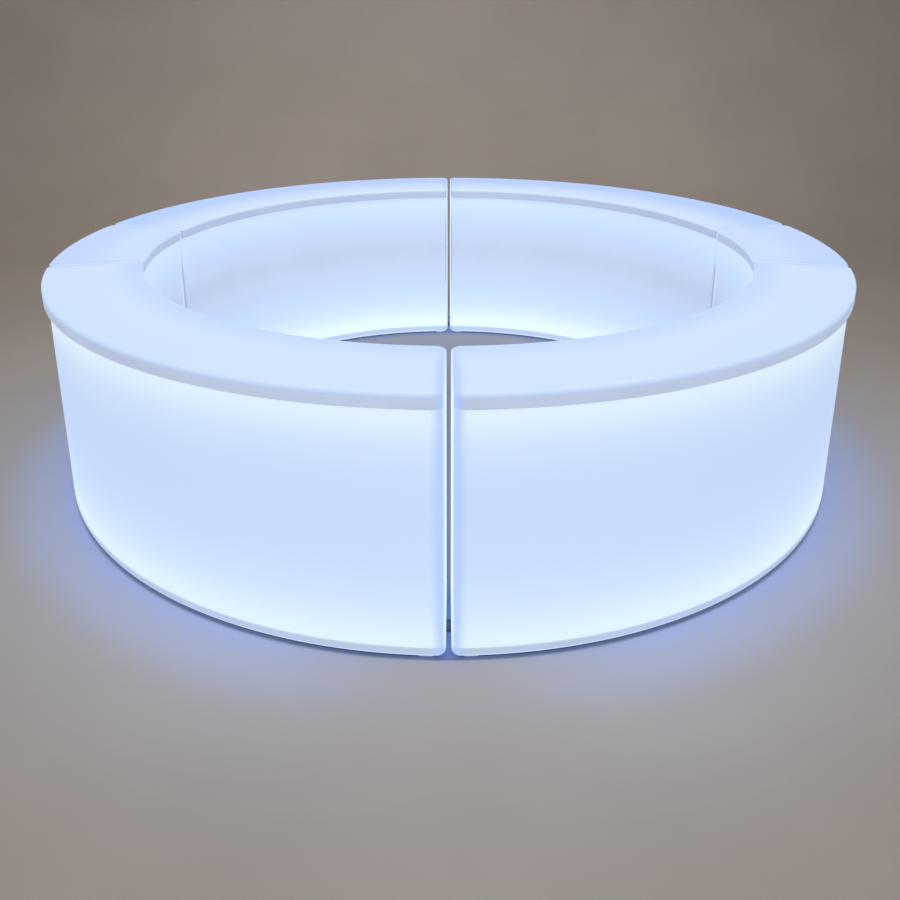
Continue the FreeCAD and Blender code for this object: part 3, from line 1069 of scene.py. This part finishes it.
@dataclass
class BarCounter:
    """The counter's own pieces, which are six shells and the pads under them.

    Attributes:
        sizes: the ring's sizes.
        back_top_shade, front_top_shade, gate_top_shade: shares of painted shade, in a bluer tone,
        along the tops' inner and outer edges, set by where the modules stand.
        wing_pads, gate_pads: foot pads along each side of a wing and of a gate.
    """

    sizes: RingSizes = RING
    # Painted shade along the tops' edges, set apart for back wings, front wings and gates.
    back_top_shade: tuple[float, float] = (0.0, 0.95)
    front_top_shade: tuple[float, float] = (0.55, 0.1)
    gate_top_shade: tuple[float, float] = (0.25, 0.55)
    wing_pads: int = 3
    gate_pads: int = 2

    def shells(self) -> list[ModuleShell]:
        """Places the six modules in the ring.

        Returns:
            The four wings and the two gates.
        """
        turn = self.sizes.wing_turn()
        wing = partial(ModuleShell, body="ring", kind=ModuleKind.WING, sizes=self.sizes)
        gate = partial(ModuleShell, kind=ModuleKind.GATE, sizes=self.sizes)
        return [
            wing("back_right", turn=turn, blue=self.back_top_shade),
            wing("back_left", turn=math.pi - turn, blue=self.back_top_shade),
            wing("front_left", turn=math.pi + turn, blue=self.front_top_shade),
            wing("front_right", turn=-turn, blue=self.front_top_shade),
            gate("right_gate", body="right_gate", turn=0.0, blue=self.gate_top_shade),
            gate("left_gate", body="left_gate", turn=math.pi, blue=self.gate_top_shade),
        ]

    def pads(self) -> list[FloorPads]:
        """Lists the foot pads of the wings and of each gate.

        Returns:
            One set for each body.
        """
        shells = self.shells()
        wing_turns = tuple(shell.turn for shell in shells if shell.kind is ModuleKind.WING)
        pads = partial(FloorPads, sizes=self.sizes)
        made = [pads("wing_pads", "ring", "floor_pads", ModuleKind.WING, wing_turns, self.wing_pads)]
        for shell in shells:
            if shell.kind is ModuleKind.GATE:
                node = f"{shell.place}_foot_pads"
                name = f"{shell.place}_pads"
                made.append(pads(name, shell.body, node, shell.kind, (shell.turn,), self.gate_pads))
        return made


# Studio


@dataclass(frozen=True)
class WarmPlaster(SurfaceFinish):
    """Floated plaster of the floor and backdrop, with a cool cast within a step of the ring.

    The painted tones run over twice the ring's radius: painted shade, dim inside the ring and
    blue under it with a painted contact shadow at the foot, then the shells' glow painted
    brightest just outside the wall, and gone a step away. The painted glow is weaker before the
    open gaps, a painted shadow of the gaps.

    Attributes:
        tint: tones of the plaster's faint clouds.
        painted_glow_and_shade: tones of the painted glow and shade, by the distance from the
        ring's middle.
        reach: the distance that a share of 1 stands for.
        under_share: share of the distance up to which the painted shade is whole.
        gap_reach, gap_share: how far beside an open gap the painted glow is weaker, a painted
        shadow of the gap, and what is left before it.
        cloud_mm, tooth_mm: size of the clouds, eleven in 20 m, and of the tooth, three in 10 mm.
        bump_mm, relief: height of the tooth, and strength of its relief.
        roughness: roughness of dull, dry plaster.
    """

    name: str = "plaster_floated_warm_grey"
    tint: tuple[Tone, ...] = (Tone(0.35, "#C0B7B0"), Tone(0.65, "#C9C0B9"))
    # Painted light: shade inside and under the ring, a contact shadow, the shells' glow outside.
    painted_glow_and_shade: tuple[Tone, ...] = (
        Tone(0.37, "#8F94A2", 0.85),
        Tone(0.41, "#6C80AC", 0.95),
        Tone(0.487, "#6C80AC", 0.95),
        Tone(0.4935, "#7A849E", 0.95),
        Tone(0.4965, "#C2D0FF", 0.92),
        Tone(0.525, "#C6D2F8", 0.76),
        Tone(0.6, "#C6CCDE", 0.3),
        Tone(0.76, "#C6C0C2", 0.0),
    )
    reach: float = 2.0 * RING.outer_lip
    under_share: float = 0.4945
    gap_reach: float = 0.9
    gap_share: float = 0.2
    cloud_mm: float = 20000.0 / 11.0
    tooth_mm: float = 10.0 / 3.0
    bump_mm: float = 0.2
    relief: float = 0.4
    roughness: float = 0.75

    def shader(self, add: AddNode) -> Node:
        """Wires the plaster's clouds, the cast over them and the float's tooth.

        Args:
            add: adds a node to the material.

        Returns:
            The shader that the surface shows.
        """
        place = add("TexCoord").outputs["Object"]
        cloud = add("TexNoise", Vector=place, Scale=1.0 / (self.cloud_mm * MM), Detail=5.0, Roughness=0.6)
        tint = add("ValToRGB", Fac=cloud)
        set_tones(tint.color_ramp, self.tint)
        # The ring's glow and shade, painted by the distance from the ring's middle.
        away = add("VectorMath", {"operation": "LENGTH"}, in0=place).outputs["Value"]
        share = add("MapRange", Value=away, From_Max=self.reach)
        painted_glow_and_shade = add("ValToRGB", Fac=share)
        painted_glow_and_shade.color_ramp.interpolation = "EASE"
        set_tones(painted_glow_and_shade.color_ramp, self.painted_glow_and_shade)
        # Painted shadow of the open gaps: the painted glow is weaker before them, not under the ring.
        side = add("SeparateXYZ", Vector=place).outputs["X"]
        from_gap = add("Math", {"operation": "ABSOLUTE"}, in0=side)
        eased = {"interpolation_type": "SMOOTHSTEP"}
        before_gap = add("MapRange", eased, Value=from_gap, From_Max=self.gap_reach, To_Min=self.gap_share)
        under = add("Math", {"operation": "LESS_THAN"}, in0=share, in1=self.under_share)
        kept = add("Math", {"operation": "MAXIMUM"}, in0=before_gap, in1=under)
        amount = add("Math", {"operation": "MULTIPLY"}, in0=painted_glow_and_shade.outputs["Alpha"], in1=kept)
        cast = add("Mix", {"data_type": "RGBA"}, in0=amount, in6=tint, in7=painted_glow_and_shade)
        tooth = add("TexNoise", Vector=place, Scale=1.0 / (self.tooth_mm * MM), Detail=2.0)
        bump = add("Bump", Height=tooth, Distance=self.bump_mm * MM, Strength=self.relief)
        return add("BsdfPrincipled", Base_Color=cast.outputs[2], Roughness=self.roughness, Normal=bump)


@dataclass
class Backdrop:
    """Floor and wall as one sheet that bends up behind the counter.

    Attributes:
        near, depth: where the floor ends in front, and where it starts to bend behind.
        bend, rise: radius of the bend, and height of the wall.
        half_width: half the sheet's width.
        bend_steps, width_steps: points round the bend and across the sheet.
        finish: its plaster, with the ring's glow and shade painted on it.
    """

    near: float = -14.0
    depth: float = 3.6
    bend: float = 3.0
    rise: float = 9.0
    half_width: float = 16.0
    bend_steps: int = 25
    width_steps: int = 33
    finish: WarmPlaster = WarmPlaster()

    def build(self) -> Object:
        """Carries the profile sideways: a straight floor, a quarter circle and an upright wall.

        Round the bend y = depth + bend * sin a and z = bend * (1 - cos a).

        Returns:
            The backdrop.
        """
        turn = np.linspace(0.0, math.pi / 2, self.bend_steps)
        y = np.concatenate([[self.near], self.depth + self.bend * np.sin(turn), [self.depth + self.bend]])
        z = np.concatenate([[0.0], self.bend * (1 - np.cos(turn)), [self.rise]])
        x = np.linspace(-self.half_width, self.half_width, self.width_steps)
        points = np.stack(np.broadcast_arrays(x[None, :], y[:, None], z[:, None]), -1).reshape(-1, 3)
        across = len(x)
        first = np.arange(len(y) - 1)[:, None] * across + np.arange(across - 1)[None, :]
        quads = np.stack([first, first + 1, first + 1 + across, first + across], -1).reshape(-1, 4)
        mesh = bpy.data.meshes.new("floor_and_backdrop")
        mesh.from_pydata(points.tolist(), [], quads.tolist())
        mesh.shade_smooth()
        piece = show(mesh)
        return piece

    def dress(self, piece: Object) -> None:
        """Gives the sheet its plaster."""
        piece.data.materials.append(self.finish.material())


@dataclass(frozen=True)
class Softbox:
    """A broad, square, slightly warm lamp.

    Attributes:
        name: name of the lamp.
        place, aim: where it hangs, and the point that it faces.
        width, power: length of its sides, and its power in watts.
        spread, colour: angle of its beam in degrees, and sRGB hex of its light.
    """

    name: str
    place: Place
    aim: Place
    width: float
    power: float
    spread: float = 120.0
    colour: str = "#FFFAF3"

    def build(self) -> None:
        """Hangs the lamp and turns it to its aim."""
        lamp = bpy.data.lights.new(self.name, "AREA")
        lamp.shape = "SQUARE"
        lamp.size = self.width
        lamp.spread = math.radians(self.spread)
        lamp.energy = self.power
        lamp.color = linear(self.colour)[:3]
        holder = show(lamp)
        way = np.array(self.aim) - np.array(self.place)
        lean = math.atan2(math.hypot(way[0], way[1]), -way[2])
        heading = math.atan2(way[1], way[0]) - math.pi / 2
        holder.location = self.place
        holder.rotation_euler = (lean, 0.0, heading)


@dataclass
class Studio:
    """Soft lamps, an even room and the camera at the photograph's viewing angle.

    The camera's numbers come from fitting the ring's outlines.

    Attributes:
        sizes: the ring's sizes; the camera's distances are in its outer radius.
        focal_px: focal length in pixels of the picture.
        distance, eye: how far the camera stands in front of the ring's centre, and its height.
        tilt: how far it looks down, in degrees.
        centre_px: where the optical axis meets the picture.
        frame_px: width and height of the picture in pixels.
        sensor_mm: width of the camera's sensor.
        room, room_strength: sRGB hex of the room's even light, and its strength.
        lamps: the soft lamps.
    """

    sizes: RingSizes = RING
    focal_px: float = 920.9
    distance: float = 2.3822
    eye: float = 1.1300
    tilt: float = 18.059
    centre_px: tuple[float, float] = (448.7, 308.0)
    frame_px: float = 900.0
    sensor_mm: float = 36.0
    room: str = "#E8E2DC"
    room_strength: float = 0.18
    lamps: tuple[Softbox, ...] = (
        Softbox("overhead_softbox", place=(0.0, -2.5, 6.5), aim=(0.0, -1.0, 0.0), width=5.0, power=78.0),
        Softbox("front_softbox", place=(0.0, -8.5, 4.5), aim=(0.0, 0.0, 0.6), width=4.0, power=34.0),
        Softbox("backdrop_softbox", place=(-0.6, -0.5, 7.5), aim=(-0.6, 7.0, 3.0), width=9.0, power=116.0),
    )

    def light(self) -> None:
        """Hangs the lamps and sets an even, slightly warm world."""
        for lamp in self.lamps:
            lamp.build()
        world = bpy.data.worlds.new("even_room")
        world.use_nodes = True
        tree = world.node_tree
        tree.nodes.clear()
        glow = add_node(tree, "Background", Color=linear(self.room), Strength=self.room_strength)
        add_node(tree, "OutputWorld", Surface=glow)
        bpy.context.scene.world = world

    def camera(self) -> None:
        """Sets up the scene's camera."""
        lens = bpy.data.cameras.new("photograph_view")
        lens.sensor_width = self.sensor_mm
        lens.lens = self.focal_px / self.frame_px * self.sensor_mm
        half = self.frame_px / 2
        lens.shift_x = (half - self.centre_px[0]) / self.frame_px
        lens.shift_y = (self.centre_px[1] - half) / self.frame_px
        ring = self.sizes.outer_lip
        view = show(lens)
        view.location = (0.0, -self.distance * ring, self.eye * ring)
        view.rotation_euler = (math.radians(90.0 - self.tilt), 0.0, 0.0)
        bpy.context.scene.camera = view


def main() -> None:
    """Builds the counter, the backdrop, the lamps and the camera, and logs each piece's faces."""
    bpy.context.scene.view_settings.view_transform = "Standard"
    counter = BarCounter()
    for part in [*counter.shells(), *counter.pads(), Backdrop()]:
        piece = part.build()
        part.dress(piece)
        LOG.info("%s: %d faces", piece.name, len(piece.data.polygons))
    for name in CarriedNodes().dress():
        LOG.info("%s: CAD node dressed", name)
    studio = Studio()
    studio.light()
    studio.camera()


if __name__ == "__main__":
    main()
